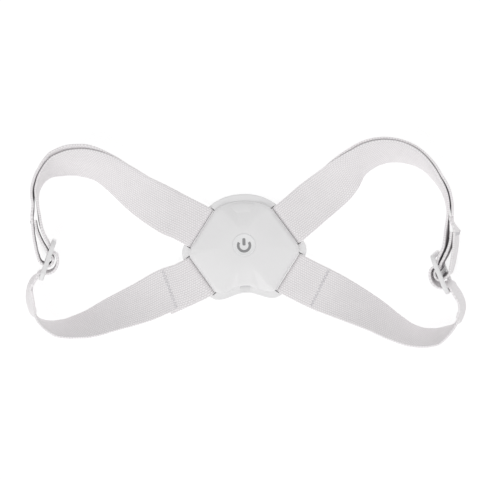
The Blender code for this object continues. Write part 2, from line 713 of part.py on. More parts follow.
def smooth_frames(route):
    """Frames along the smooth curve through the controls, and the frame number of each name."""
    places = [control.place for control in route]
    spans = [(b - a).length for a, b in zip(places, places[1:])]
    slopes = [(places[1] - places[0]) / spans[0]]
    for i in range(1, len(places) - 1):
        back, ahead = spans[i - 1], spans[i]
        slopes.append(((places[i] - places[i - 1]) * ahead / back
                       + (places[i + 1] - places[i]) * back / ahead) / (back + ahead))
    slopes.append((places[-1] - places[-2]) / spans[-1])
    frames, marks = [], {}
    for i, span in enumerate(spans):
        if route[i].name:
            marks[route[i].name] = len(frames)
        count = max(1, round(span / ROUTE_STEP))
        ends = (slopes[i] * span, slopes[i + 1] * span)
        frames += [route_frame(route[i], route[i + 1], ends, step / count) for step in range(count)]
    if route[-1].name:
        marks[route[-1].name] = len(frames)
    frames.append(route_frame(route[-2], route[-1], ends, 1.0))
    return frames, marks


def route_frame(start, end, pulls, t):
    """Middle, width direction, heading and layer distance at a fraction of one span."""
    a, b = start.place, end.place
    place = (a * (2 * t ** 3 - 3 * t ** 2 + 1) + pulls[0] * (t ** 3 - 2 * t ** 2 + t)
             + b * (3 * t ** 2 - 2 * t ** 3) + pulls[1] * (t ** 3 - t ** 2))
    heading = (a * (6 * t ** 2 - 6 * t) + pulls[0] * (3 * t ** 2 - 4 * t + 1)
               + b * (6 * t - 6 * t ** 2) + pulls[1] * (3 * t ** 2 - 2 * t)).normalized()
    width = start.width.lerp(end.width, t)
    width = (width - heading * width.dot(heading)).normalized()
    gap = start.gap + (end.gap - start.gap) * t
    shift = start.shift + (end.shift - start.shift) * t
    return place, width, heading, gap, shift


def band(name, frames, pivot=None, keep=None, trim=(True, True)):
    """A stretch of webbing through the frames, cut off at the fold where it reaches one."""
    frames = list(frames)
    for end, way in ((0, 1), (-1, -1)):
        if trim[end]:
            place, width, heading, *layer = frames[end]
            frames[end] = (place + heading * GAP * 0.6 * way, width, heading, *layer)
    rings = []
    for place, width, heading, *_ in frames:
        side = width * STRAP_WIDTH / 2
        face = heading.cross(width) * STRAP_THICKNESS / 2
        rings.append([place + side + face, place + side - face, place - face,
                      place - side - face, place - side + face, place + face])
    bm = loft(rings)
    if keep:
        cut_at_fold(bm, keep)
    add_object(name, bm, "white_webbing", pivot)


def cut_at_fold(bm, keep):
    """Keep the loop's or the housing's side of the fold beside the housing."""
    sign, part = keep
    x = FOLD_X + FOLD_HALF_GAP * (1 if part == "loop" else -1)
    cut = bmesh.ops.bisect_plane(
        bm, geom=bm.verts[:] + bm.edges[:] + bm.faces[:], plane_co=(sign * x, 0, 0),
        plane_no=(sign if part == "housing" else -sign, 0, 0), clear_outer=True)
    edges = [item for item in cut["geom_cut"] if isinstance(item, bmesh.types.BMEdge)]
    bmesh.ops.holes_fill(bm, edges=edges, sides=0)


def loop_webbing(side, loop, fold, guide):
    """The webbing of one loop, in its stretches on the housing, the loop and the slider."""
    frames, marks = smooth_frames(webbing_route(loop))

    def stretch(first, last):
        return frames[marks.get(first, 0):marks[last] + 1]

    sign = loop["sign"]
    on_loop, on_housing = (sign, "loop"), (sign, "housing")
    band(side + "_sewn_loop", stretch("start", "seam"), guide, trim=(False, True))
    band(side + "_outer_strap_end", stretch("seam", "outer_free"), fold)
    band(side + "_outer_shoulder_strap", stretch("outer_free", "outer_root"), fold, on_loop,
         (True, False))
    band(side + "_shoulder_turn", stretch("outer_arch", "inner_arch"), None, on_housing,
         (False, False))
    band(side + "_inner_shoulder_strap", stretch("inner_root", "inner_free"), fold, on_loop,
         (False, True))
    band(side + "_inner_strap_end", stretch("inner_free", "wrap_start"), fold)
    band(side + "_slider_wrap", stretch("wrap_start", "wrap_end"), guide)
    band(side + "_underarm_strap_end", stretch("wrap_end", "under_free"), fold)
    band(side + "_underarm_strap", stretch("under_free", "under_root"), fold, on_loop,
         (True, False))
    band(side + "_underarm_turn", stretch("under_arch", "tail_end"), None, on_housing,
         (False, False))


def slider(side, loop, guide):
    """The tri-glide: a flat frame with a middle bar across its opening."""
    down, inward, across = slider_axes(loop)
    bm = bmesh.new()
    put_box(bm, (SLIDER_LENGTH, SLIDER_THICKNESS, SLIDER_WIDTH), (0, 0, 0))
    openings = bmesh.new()
    opening = (SLIDER_LENGTH - SLIDER_MIDDLE_BAR) / 2 - SLIDER_END_BAR
    for way in (-1, 1):
        put_box(openings, (opening, 3 * SLIDER_THICKNESS, SLIDER_OPENING),
                (way * (SLIDER_MIDDLE_BAR + opening) / 2, 0, 0))
    name = side + "_slider"
    for mesh in (bm, openings):
        for vert in mesh.verts:
            x, y, z = vert.co
            vert.co = slider_centre(loop) + down * x + inward * y + across * z
    frame = add_object(name, bm, "white_plastic", guide)
    boolean(frame, add_cutter(name + "_openings", openings), "DIFFERENCE")
    bevel(frame, 0.7 * MM)


def shoulder_loops():
    for side, loop in LOOPS.items():
        fold = add_pivot(side + "_fold", (loop["sign"] * FOLD_X, 0, FOLD_Z))
        guide = add_pivot(side + "_guide", slider_centre(loop), fold)
        loop_webbing(side, loop, fold, guide)
        slider(side, loop, guide)


clear_scene()
PARTS = new_collection("back_brace")
CUTTERS = new_collection("cutters")
front_cover()
back_cover()
cover_screws()
button_parts()
electronics()
shoulder_loops()
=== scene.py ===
"""The looks of the back brace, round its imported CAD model.

Everything is in metres in the CAD's frame: the housing's back face is at z = 0, the button's axis
is the Z axis, and the brace lies face up.
"""
import json
import math
from collections import namedtuple

import bmesh
import bpy
from mathutils import Matrix, Vector, noise

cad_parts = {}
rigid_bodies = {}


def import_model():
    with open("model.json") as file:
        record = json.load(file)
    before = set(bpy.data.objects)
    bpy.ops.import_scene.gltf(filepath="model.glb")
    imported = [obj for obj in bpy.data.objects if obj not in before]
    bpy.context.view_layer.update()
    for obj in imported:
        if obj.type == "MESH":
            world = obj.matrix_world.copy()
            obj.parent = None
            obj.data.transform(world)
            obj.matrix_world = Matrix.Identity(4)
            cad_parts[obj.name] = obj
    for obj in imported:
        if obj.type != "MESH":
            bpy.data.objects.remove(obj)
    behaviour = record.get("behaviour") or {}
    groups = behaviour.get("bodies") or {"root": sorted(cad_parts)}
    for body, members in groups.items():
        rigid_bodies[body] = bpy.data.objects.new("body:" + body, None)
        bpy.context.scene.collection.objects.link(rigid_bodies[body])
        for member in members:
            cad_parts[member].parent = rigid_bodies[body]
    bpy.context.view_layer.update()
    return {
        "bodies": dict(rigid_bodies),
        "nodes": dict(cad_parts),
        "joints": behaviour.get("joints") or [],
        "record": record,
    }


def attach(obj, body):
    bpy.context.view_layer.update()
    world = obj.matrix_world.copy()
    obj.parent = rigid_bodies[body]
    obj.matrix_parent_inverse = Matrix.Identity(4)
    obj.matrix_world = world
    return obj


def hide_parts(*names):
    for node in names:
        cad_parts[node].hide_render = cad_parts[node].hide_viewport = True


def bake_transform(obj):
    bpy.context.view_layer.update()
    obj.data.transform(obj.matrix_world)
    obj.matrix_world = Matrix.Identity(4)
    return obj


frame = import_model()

MM = 0.001
UP = Vector((0, 0, 1))


def ease_in(t):
    """0..1 with a level start and end."""
    t = max(0.0, min(1.0, t))
    return t * t * (3 - 2 * t)


# ---------------------------------------------------------------- camera, light and floor

CAMERA_HEIGHT = 1.0
VIEW_WIDTH = 0.3432
CAMERA_ROLL = math.radians(2.0)
CAMERA_AIM = (-2.86 * MM, 3.54 * MM)
SENSOR = 36
SURROUND_STRENGTH = 0.57
# Place in metres, size in metres, and power in watts
KEY_LIGHT = ((-0.7, -1.0, 1.2), 1.5, 10)
FILL_LIGHT = ((0.9, 0.3, 1.3), 1.2, 3.5)
FLOOR_HALF = 4.0
FLOOR_Z = -0.3 * MM
FLOOR_COLOUR = (0.42, 0.42, 0.42, 1)
FLOOR_GLOW = 0.70


def add_camera():
    """Straight down on the brace, turned a little about the line of sight."""
    data = bpy.data.cameras.new("camera")
    data.sensor_width = SENSOR
    data.lens = SENSOR * CAMERA_HEIGHT / VIEW_WIDTH
    data.clip_end = 20
    camera = bpy.data.objects.new("camera", data)
    turn = Matrix.Rotation(-CAMERA_ROLL, 4, "Z")
    camera.matrix_world = turn @ Matrix.Translation((*CAMERA_AIM, CAMERA_HEIGHT))
    bpy.context.scene.collection.objects.link(camera)
    bpy.context.scene.camera = camera


def add_area_light(name, place, size, power):
    """A round soft light that faces the middle of the brace."""
    data = bpy.data.lights.new(name, "AREA")
    data.shape = "DISK"
    data.size = size
    data.energy = power
    light = bpy.data.objects.new(name, data)
    light.location = place
    light.rotation_euler = (-Vector(place)).to_track_quat("-Z", "Y").to_euler()
    bpy.context.scene.collection.objects.link(light)


def add_studio():
    """A white floor, an even white surround and two big soft lights."""
    bpy.context.scene.view_settings.view_transform = "Standard"
    world = bpy.data.worlds.new("studio")
    world.use_nodes = True
    world.node_tree.nodes["Background"].inputs["Color"].default_value = (1, 1, 1, 1)
    world.node_tree.nodes["Background"].inputs["Strength"].default_value = SURROUND_STRENGTH
    bpy.context.scene.world = world
    add_area_light("key", *KEY_LIGHT)
    add_area_light("fill", *FILL_LIGHT)
    mesh = bpy.data.meshes.new("floor")
    bm = bmesh.new()
    bmesh.ops.create_grid(bm, x_segments=1, y_segments=1, size=FLOOR_HALF)
    bm.to_mesh(mesh)
    bm.free()
    floor = bpy.data.objects.new("floor", mesh)
    floor.location.z = FLOOR_Z
    bpy.context.scene.collection.objects.link(floor)
    material = bpy.data.materials.new("white_floor")
    material.use_nodes = True
    shader = material.node_tree.nodes["Principled BSDF"]
    shader.inputs["Base Color"].default_value = FLOOR_COLOUR
    shader.inputs["Roughness"].default_value = 0.9
    shader.inputs["Specular IOR Level"].default_value = 0.1
    shader.inputs["Emission Color"].default_value = (1, 1, 1, 1)
    shader.inputs["Emission Strength"].default_value = FLOOR_GLOW
    mesh.materials.append(material)


# ---------------------------------------------------------------- materials

# Ends of the webbing's colour: painted shade between the knots and painted light on them, with random
# yarn tone
WEBBING_SHADE = (0.70, 0.68, 0.69)
WEBBING_LIGHT = (0.98, 0.955, 0.965)
THREAD_SHADE = (0.60, 0.59, 0.61)
THREAD_LIGHT = (0.78, 0.77, 0.79)


class Nodes:
    """Short ways to add and join shader nodes in one material."""

    def __init__(self, name):
        self.material = bpy.data.materials.new(name)
        self.material.use_nodes = True
        self.tree = self.material.node_tree
        self.shader = self.tree.nodes["Principled BSDF"]

    def add(self, kind, **settings):
        node = self.tree.nodes.new(kind)
        for key, value in settings.items():
            setattr(node, key, value)
        return node

    def link(self, start, end):
        self.tree.links.new(start, end)

    def math(self, operation, a, b=None):
        """A Math node; a and b are sockets or numbers."""
        node = self.add("ShaderNodeMath", operation=operation)
        for socket, value in zip(node.inputs, (a, b)):
            if value is None:
                continue
            if isinstance(value, (int, float)):
                socket.default_value = value
            else:
                self.link(value, socket)
        return node.outputs[0]

    def noise(self, vector, scale, detail=3.0, roughness=0.5):
        node = self.add("ShaderNodeTexNoise")
        node.inputs["Scale"].default_value = scale
        node.inputs["Detail"].default_value = detail
        node.inputs["Roughness"].default_value = roughness
        self.link(vector, node.inputs["Vector"])
        return node.outputs["Fac"]

    def mix(self, factor, low, high):
        """A colour between low and high."""
        node = self.add("ShaderNodeMix", data_type="RGBA")
        self.link(factor, node.inputs["Factor"])
        for socket, colour in ((node.inputs["A"], low), (node.inputs["B"], high)):
            if isinstance(colour, tuple):
                socket.default_value = (*colour, 1)
            else:
                self.link(colour, socket)
        return node.outputs["Result"]

    def spread(self, value, low, high, low_in=0.0):
        """value from low_in..1 mapped to low..high."""
        node = self.add("ShaderNodeMapRange")
        node.inputs["From Min"].default_value = low_in
        node.inputs["To Min"].default_value = low
        node.inputs["To Max"].default_value = high
        self.link(value, node.inputs["Value"])
        return node.outputs["Result"]

    def bump(self, height, distance, strength=1.0):
        node = self.add("ShaderNodeBump")
        node.inputs["Strength"].default_value = strength
        node.inputs["Distance"].default_value = distance
        self.link(height, node.inputs["Height"])
        return node.outputs["Normal"]

    def wave(self, phase):
        """0..1 and back once for each whole number of the phase, highest at whole numbers."""
        turn = self.math("COSINE", self.math("MULTIPLY", phase, 2 * math.pi))
        return self.spread(turn, 0.0, 1.0, low_in=-1.0)

    def place(self):
        return self.add("ShaderNodeTexCoord").outputs["Object"]

    def constants(self, **values):
        for key, value in values.items():
            self.shader.inputs[key.replace("_", " ")].default_value = value


def plastic(name, colour, roughness=0.34, grain=0.012 * MM):
    """Moulded plastic: a faint orange peel, and small changes of gloss and tone."""
    n = Nodes(name)
    place = n.place()
    broad = n.noise(place, 60, 2)
    fine = n.noise(place, 2600, 2)
    dark = tuple(c * 0.955 for c in colour)
    n.link(n.mix(broad, dark, colour), n.shader.inputs["Base Color"])
    n.link(n.spread(n.noise(place, 240, 4), roughness - 0.06, roughness + 0.08),
           n.shader.inputs["Roughness"])
    n.link(n.bump(fine, grain), n.shader.inputs["Normal"])
    return n.material


def metal(name, colour, roughness):
    """Plated or foiled metal, with fine scratches."""
    n = Nodes(name)
    place = n.place()
    tint = tuple(c * 0.85 for c in colour)
    n.link(n.mix(n.noise(place, 300, 4), tint, colour), n.shader.inputs["Base Color"])
    n.link(n.spread(n.noise(place, 900, 3), roughness - 0.08, roughness + 0.12),
           n.shader.inputs["Roughness"])
    n.link(n.bump(n.noise(place, 3000, 2), 0.01 * MM), n.shader.inputs["Normal"])
    n.constants(Metallic=1.0)
    return n.material


def webbing_material():
    """Woven elastic: lengthwise cords whose knots are staggered from cord to cord, in fluffy yarn; its
    colour has painted shade between the knots and painted light on them.
    """
    n = Nodes("white_webbing")
    weave = n.add("ShaderNodeAttribute", attribute_name="weave").outputs["Vector"]
    split = n.add("ShaderNodeSeparateXYZ")
    n.link(weave, split.inputs[0])
    wobble = n.spread(n.noise(weave, 0.35, 2), -0.16, 0.16)
    across = n.math("ADD", split.outputs[1], wobble)
    stagger = n.math("MULTIPLY", n.math("ROUND", across), 0.5)
    rib = n.wave(n.math("ADD", n.math("ADD", split.outputs[0], wobble), stagger))
    cord = n.wave(across)
    knot = n.math("ADD", n.math("MULTIPLY", rib, 0.5), n.math("MULTIPLY", cord, 0.5))
    yarn = n.noise(weave, 3.2, 3, 0.6)
    patch = n.noise(weave, 0.12, 3, 0.6)
    # Painted shade and light: the colour is darker between the knots and lighter on them, after the
    # weave's relief, mixed with random yarn and patch tone
    tone = n.math("MULTIPLY", n.math("ADD", knot, n.spread(yarn, -0.55, 0.55)),
                  n.spread(patch, 0.8, 1.25))
    n.link(n.mix(tone, WEBBING_SHADE, WEBBING_LIGHT), n.shader.inputs["Base Color"])
    height = n.math("ADD", knot, n.math("MULTIPLY", yarn, 0.5))
    n.link(n.bump(height, 0.1 * MM, 0.6), n.shader.inputs["Normal"])
    n.constants(Roughness=0.88, Sheen_Weight=0.18, Sheen_Roughness=0.5, Specular_IOR_Level=0.25)
    return n.material


def thread_material():
    """Twisted sewing thread."""
    n = Nodes("sewing_thread")
    place = n.place()
    n.link(n.mix(n.noise(place, 900, 2), THREAD_SHADE, THREAD_LIGHT),
           n.shader.inputs["Base Color"])
    n.link(n.bump(n.noise(place, 6000, 2), 0.05 * MM), n.shader.inputs["Normal"])
    n.constants(Roughness=0.7, Sheen_Weight=0.2)
    return n.material


# ---------------------------------------------------------------- webbing route, as in the CAD

STRAP_WIDTH = 30 * MM
STRAP_THICKNESS = 1.8 * MM
ROUTE_STEP = 6 * MM
FINE_STEP = 0.8 * MM
EXIT_START = 5.0
EXIT_END = 16
LAYER_PRESS = 0.62
PLATEAU_UPPER = ((20.2, 25.2), (38.0, -0.9))
PLATEAU_LOWER = ((38.6, -7.1), (21.6, -32.65))
TURN_CENTRE = 4.15 * MM
TURN_RADIUS = 2.7 * MM
TURN_Z = 3.9 * MM
TURN_STEP, TURN_STEPS = 30, 6
# Webbing at a slot in millimetres: outwards from the plateau's edge, and up from the back face
BELOW_BAR = ((16, 3.1), (10, 2.0), (6.5, 1.35))
ABOVE_BAR = ((6.5, 6.6), (10, 6.6), (16, 6.6))
LOOSE_END = ((24, 4.0), (32, 4.4))
SEWN_TAIL = ((-22.8, -17.0), (-18.5, -14.7), (-11.3, -8.6), (-6.6, -3.3))
SEWN_RADIUS = 3.7
SLIDER_REACH = 2.0
SEWN_MAIN = ((3.1, -3.6), (-1.2, -7.8), (-6.8, -11.4), (-12.8, -14.8), (-19.0, -17.6), (-24, -19.8))
WRAP = ((-15.8, -8.1), (-9.7, -2.2), (-6.5, 0.4), (-4.8, 4.9), (0, 7.2), (5.0, 6.6), (8.4, 3.2),
        (9.1, 0), (10.3, -2.2), (15.6, -3.4))
# Each loop: its slider's middle in millimetres, direction and lean in degrees; the angles at which
# the straps leave the slots; the shoulder station from which the layers part; and the stations.
# A station is a point on the middle of the webbing in millimetres (outwards, up, height), the angle
# by which its outer edge is turned up, and for the shoulder strap the distance to its outer layer
# and how far that layer is shifted towards the outer edge.
LOOPS = {
    "left": {
        "sign": -1,
        "slider": (138.0, -5.2, 18.8),
        "slider_direction": (0.362, -0.932),
        "slider_lean": 7.9,
        "shoulder_exit": -5.5,
        "free_station": 9,
        "underarm_exit": -10.5,
        "shoulder": (
            (51.7, 24.4, 6.6, 0, 2.9, 0.8), (72.2, 38.1, 10.3, 24, 2.9, -0.6),
            (86.9, 50.0, 13.3, 40, 2.9, -1.2), (98.9, 58.0, 14.2, 48, 2.9, -0.2),
            (110.7, 61.6, 14.2, 52, 2.9, 2.3), (120.9, 62.1, 14.6, 58, 2.9, 2.6),
            (129.9, 59.9, 15.2, 66, 2.9, 2.2), (137.5, 54.9, 15.8, 82, 2.9, 1.2),
            (142.1, 48.8, 15.9, 90, 3.2, 0.8), (144.3, 42.2, 15.9, 94, 3.7, 0.8),
            (144.1, 33.1, 16.0, 98, 4.4, 0.8), (142.7, 22.6, 17.6, 99, 0, 0)),
        "underarm": (
            (149.6, -22.0, 17.9, 104), (151.8, -33.8, 15.9, 108), (149.8, -42.3, 15.6, 106),
            (145.2, -48.1, 15.8, 92), (133.3, -53.8, 15.3, 72), (115.9, -52.8, 13.4, 56),
            (90.1, -44.0, 9.8, 34), (73.4, -38.0, 8.2, 18), (53.9, -29.6, 6.8, 3)),
    },
    "right": {
        "sign": 1,
        "slider": (138.3, -23.7, 18.8),
        "slider_direction": (0.349, -0.937),
        "slider_lean": 16.0,
        "shoulder_exit": 3.5,
        "free_station": 11,
        "underarm_exit": -4.5,
        "shoulder": (
            (49.7, 28.1, 6.6, 0, 2.9, 0), (66.5, 40.9, 9.3, 15, 3.3, -0.8),
            (77.7, 52.0, 14.2, 43, 4.1, -0.8), (82.8, 55.5, 15.2, 50, 4.2, -0.6),
            (89.4, 59.2, 15.5, 53, 4.0, -0.6), (99.4, 61.9, 15.7, 59, 3.4, -0.5),
            (110.2, 61.6, 16.1, 66, 2.9, -0.8), (120.6, 57.9, 16.3, 74, 2.9, -0.8),
            (130.0, 51.0, 16.3, 84, 2.9, -0.5), (136.9, 41.8, 16.2, 90, 2.9, 0),
            (141.8, 33.1, 16.0, 93, 3.1, 0), (144.1, 23.1, 15.9, 96, 3.4, 0),
            (143.8, 12.6, 16.3, 100, 4.2, 0), (142.6, 2.1, 17.9, 104, 0, 0)),
        "underarm": (
            (150.0, -42.8, 17.9, 106), (151.4, -51.1, 16.0, 108), (149.2, -57.8, 15.6, 106),
            (143.8, -62.8, 15.9, 91), (132.3, -69.1, 15.2, 72), (114.8, -67.4, 13.9, 60),
            (103.5, -61.4, 12.6, 50), (89.8, -52.5, 11.3, 38), (72.9, -43.0, 9.4, 22),
            (52.7, -32.6, 6.7, 1)),
    },
}


def slot_frame(edge, sign):
    """Middle, outward direction and width direction of a strap slot."""
    first, last = Vector(edge[0]) * MM, Vector(edge[1]) * MM
    if edge is PLATEAU_UPPER:
        first, last = last, first
    along = (last - first).normalized()
    outward = Vector((abs(along.y), -along.x if edge is PLATEAU_UPPER else along.x))
    middle = (first + last) / 2
    flip = Vector((sign, 1, 1))
    return middle.to_3d() * flip, outward.to_3d() * flip, along.to_3d() * flip


Control = namedtuple("Control", "name place width gap shift", defaults=(0, 0))


def webbing_route(loop):
    """Controls of one loop's webbing, all the way from its sewn tail to its loose end.

    It runs from the sewn tail through the slider, over the arch as the outer layer, round the
    bar of the upper slot, back as the inner layer, through the slider again, and along the
    underarm to the lower slot, where its end comes back on the underside.
    """
    sign = loop["sign"]
    turns = [(SEWN_RADIUS * math.cos(a), SEWN_RADIUS * math.sin(a))
             for a in (math.radians(180 - TURN_STEP * step) for step in range(TURN_STEPS + 1))]
    route = slider_controls(loop, SEWN_TAIL + tuple(turns) + SEWN_MAIN, last_name="seam")
    slot = slot_frame(PLATEAU_UPPER, sign)
    shoulder = strap_controls(loop, loop["shoulder"], slot, 1)
    inner, marks = smooth_frames(shoulder)
    last_outer = marks["outer_last"]
    names = {number: name for name, number in marks.items()}
    for number in range(last_outer, -1, -1):
        place, width, heading, gap, shift = inner[number]
        normal = heading.cross(width) * sign
        name = {"inner_free": "outer_free", "inner_arch": "outer_arch"}.get(names.get(number))
        gap = STRAP_THICKNESS + (gap - STRAP_THICKNESS) * LAYER_PRESS
        route.append(Control(name, place - normal * gap + width * shift, width))
    leave = loop["shoulder_exit"]
    route += slot_controls(slot, BELOW_BAR, leave, "outer_root")
    route += turn_controls(slot, 1)
    route += slot_controls(slot, ABOVE_BAR, leave, "inner_root")
    for number, (place, width, *_) in enumerate(inner):
        name = names.get(number)
        route.append(Control(name if name in ("inner_free", "inner_arch") else None, place, width))
    route += slider_controls(loop, WRAP, first_name="wrap_start", last_name="wrap_end")
    slot = slot_frame(PLATEAU_LOWER, sign)
    route += strap_controls(loop, loop["underarm"], slot, -1)
    leave = loop["underarm_exit"]
    route += slot_controls(slot, ABOVE_BAR[::-1], leave, "under_root")
    route += turn_controls(slot, -1)
    route += slot_controls(slot, BELOW_BAR[::-1] + LOOSE_END, leave)
    route[-1] = route[-1]._replace(name="tail_end")
    return route


def slider_axes(loop):
    """Directions of a slider: along it, towards the loop's inside, and across the webbing."""
    sign = loop["sign"]
    x, y = loop["slider_direction"]
    lean = math.radians(loop["slider_lean"])
    down = Vector((sign * x, y, 0)).normalized()
    level_inward = Vector((-sign * abs(y), -x, 0)).normalized()
    across = UP * math.cos(lean) + level_inward * math.sin(lean)
    inward = level_inward * math.cos(lean) - UP * math.sin(lean)
    return down, inward, across


def slider_centre(loop):
    x, y, z = loop["slider"]
    return Vector((loop["sign"] * x, y, z)) * MM


def slider_controls(loop, points, first_name=None, last_name=None):
    """Controls for points given in the slider's own directions, kept level away from its plate."""
    down, inward, across = slider_axes(loop)
    slide = math.tan(math.radians(loop["slider_lean"]))
    controls = []
    for u, v in points:
        beyond = v - max(-SLIDER_REACH, min(SLIDER_REACH, v))
        place = slider_centre(loop) + (down * u + inward * v + across * beyond * slide) * MM
        controls.append(Control(None, place, across))
    controls[0] = controls[0]._replace(name=first_name)
    if last_name:
        controls[-1] = controls[-1]._replace(name=last_name)
    return controls


def strap_controls(loop, stations, slot, turn):
    """Controls at a strap's stations.

    turn is 1 for the shoulder strap, listed away from its slot, and -1 for the underarm strap,
    listed towards its slot.
    """
    sign = loop["sign"]
    places = [Vector((sign * station[0], station[1], station[2])) * MM for station in stations]
    root = exit_place(slot, EXIT_END, loop["shoulder_exit" if turn > 0 else "underarm_exit"])
    path = [root] + places if turn > 0 else places + [root]
    offset = 1 if turn > 0 else 0
    controls = []
    for number, (place, station) in enumerate(zip(places, stations)):
        here = number + offset
        ahead = path[min(here + 1, len(path) - 1)]
        behind = path[max(here - 1, 0)]
        heading = (ahead - behind).to_2d().normalized()
        outer = Vector((-heading.y, heading.x, 0)) * sign
        roll = math.radians(station[3])
        width = outer * math.cos(roll) + UP * math.sin(roll)
        layer = [value * MM for value in station[4:]]
        controls.append(Control(None, place, width, *layer))
    if turn > 0:
        marks = {"inner_arch": 1, "inner_free": loop["free_station"], "outer_last": len(stations) - 2}
    else:
        marks = {"under_free": 2, "under_arch": len(stations) - 2}
    for name, number in marks.items():
        controls[number] = controls[number]._replace(name=name)
    return controls


def slot_controls(slot, points, exit_angle=0, middle_name=None):
    """Controls for points given outwards from a slot's edge and up from the back face.

    The webbing leaves at an angle to the slot's own outward direction.
    """
    along = slot[2]
    controls = [Control(None, exit_place(slot, d, exit_angle) + UP * z * MM, along)
                for d, z in points]
    if middle_name:
        controls[1] = controls[1]._replace(name=middle_name)
    return controls


def exit_place(slot, distance, exit_angle):
    """A point outwards from a slot, on a line that leaves it at an angle."""
    middle, outward, along = slot
    drift = math.tan(math.radians(exit_angle)) * max(0, distance - EXIT_START)
    return middle + (outward * distance + along * drift) * MM


def turn_controls(slot, way):
    """Controls round a slot's bar, upwards (1) or downwards (-1)."""
    points = []
    for step in range(TURN_STEPS + 1):
        angle = math.radians(270 - TURN_STEP * step)
        points.append((
            (TURN_CENTRE + TURN_RADIUS * math.cos(angle)) / MM,
            (TURN_Z + TURN_RADIUS * math.sin(angle)) / MM))
    return slot_controls(slot, points[::way])


def smooth_frames(route, distance=ROUTE_STEP):
    """Frames along the smooth curve through the controls, and the frame number of each name."""
    places = [control.place for control in route]
    spans = [(b - a).length for a, b in zip(places, places[1:])]
    slopes = [(places[1] - places[0]) / spans[0]]
    for i in range(1, len(places) - 1):
        back, ahead = spans[i - 1], spans[i]
        slopes.append(((places[i] - places[i - 1]) * ahead / back
                       + (places[i + 1] - places[i]) * back / ahead) / (back + ahead))
    slopes.append((places[-1] - places[-2]) / spans[-1])
    frames, marks = [], {}
    for i, span in enumerate(spans):
        if route[i].name:
            marks[route[i].name] = len(frames)
        count = max(1, round(span / distance))
        ends = (slopes[i] * span, slopes[i + 1] * span)
        frames += [route_frame(route[i], route[i + 1], ends, step / count) for step in range(count)]
    if route[-1].name:
        marks[route[-1].name] = len(frames)
    frames.append(route_frame(route[-2], route[-1], ends, 1.0))
    return frames, marks


def route_frame(start, end, pulls, t):
    """Middle, width direction, heading and layer distance at a fraction of one span."""
    a, b = start.place, end.place
    place = (a * (2 * t ** 3 - 3 * t ** 2 + 1) + pulls[0] * (t ** 3 - 2 * t ** 2 + t)
             + b * (3 * t ** 2 - 2 * t ** 3) + pulls[1] * (t ** 3 - t ** 2))
    heading = (a * (6 * t ** 2 - 6 * t) + pulls[0] * (3 * t ** 2 - 4 * t + 1)
               + b * (6 * t - 6 * t ** 2) + pulls[1] * (3 * t ** 2 - 2 * t)).normalized()
    width = start.width.lerp(end.width, t)
    width = (width - heading * width.dot(heading)).normalized()
    gap = start.gap + (end.gap - start.gap) * t
    shift = start.shift + (end.shift - start.shift) * t
    return place, width, heading, gap, shift


# ---------------------------------------------------------------- webbing meshes

SECTION_STEPS = 38
RIB_HEIGHT = 0.015 * MM
CORD_HEIGHT = 0.03 * MM
SURFACE_WAVE, SURFACE_WAVE_SCALE = 0.16 * MM, 70
RELAX, RELAX_NEAR, RELAX_FAR = 0.055, 45 * MM, 85 * MM
STITCHES = 23
STITCH_PITCH = 1.25 * MM
STITCH_LENGTH = 2.5 * MM
STITCH_LEAN = 0.42
STITCH_LIFT = 0.08 * MM
STITCH_SAG = 0.12 * MM
THREAD_RADIUS = 0.3 * MM
THREAD_SIDES = 8
SEAM_SETBACK = 4
TAIL_SEAM = 6 * MM
TAIL_LIFT = 2.5 * MM


def add_mesh(name, points, faces, material):
    """A named smooth piece from points and faces in the frame of the CAD."""
    mesh = bpy.data.meshes.new(name)
    mesh.from_pydata(points, [], faces)
    mesh.update()
    mesh.shade_smooth()
    mesh.set_sharp_from_angle(angle=math.radians(50))
    mesh.materials.append(material)
    piece = bpy.data.objects.new(name, mesh)
    bpy.context.scene.collection.objects.link(piece)
    return piece


def webbing_section():
    """(across, up, way up or down, cord phase) round the webbing, from the middle of its life."""
    edge = STRAP_THICKNESS / 2
    flat = STRAP_WIDTH / 2 - edge
    face = [(-flat + 2 * flat * k / SECTION_STEPS, k) for k in range(SECTION_STEPS + 1)]
    section = [(across, edge, 1, k) for across, k in face]
    for degrees in (54, 18, -18, -54):
        a = math.radians(degrees)
        section.append((flat + edge * math.cos(a), edge * math.sin(a), 0, SECTION_STEPS + 1))
    section += [(across, -edge, -1, k) for across, k in reversed(face)]
    for degrees in (-54, -18, 18, 54):
        a = math.radians(degrees)
        section.append((-flat - edge * math.cos(a), edge * math.sin(a), 0, -1))
    return section


SECTION = webbing_section()


def relaxed(place):
    """How much wider than in the pulled arch the elastic is, near the housing."""
    return 1 + RELAX * ease_in((RELAX_FAR - abs(place.x)) / (RELAX_FAR - RELAX_NEAR))


def webbing_piece(name, frames, first, material):
    """A stretch of webbing, with its ribs and cords in the mesh; first is its first frame's number."""
    points, phases = [], []
    for number, (place, width, heading, *_) in enumerate(frames, start=first):
        normal = heading.cross(width)
        wave = SURFACE_WAVE * noise.noise(place * SURFACE_WAVE_SCALE)
        rib = RIB_HEIGHT if number % 2 else -RIB_HEIGHT
        wide = relaxed(place)
        for across, up, way, k in SECTION:
            cord = CORD_HEIGHT if k % 2 else -CORD_HEIGHT
            if way:
                up += (rib + cord) * way
            else:
                across += rib * (1 if across > 0 else -1)
            points.append(place + width * across * wide + normal * (up + wave))
            phases += (number / 2 + 0.5, k / 2 + 0.5, way)
    around = len(SECTION)
    faces = []
    for ring in range(len(frames) - 1):
        base = ring * around
        for i in range(around):
            j = (i + 1) % around
            faces.append((base + i, base + i + around, base + j + around, base + j))
    faces.append(tuple(range(around)))
    faces.append(tuple(reversed(range(len(points) - around, len(points)))))
    piece = add_mesh(name, points, faces, material)
    weave = piece.data.attributes.new("weave", "FLOAT_VECTOR", "POINT")
    weave.data.foreach_set("vector", phases)
    return piece


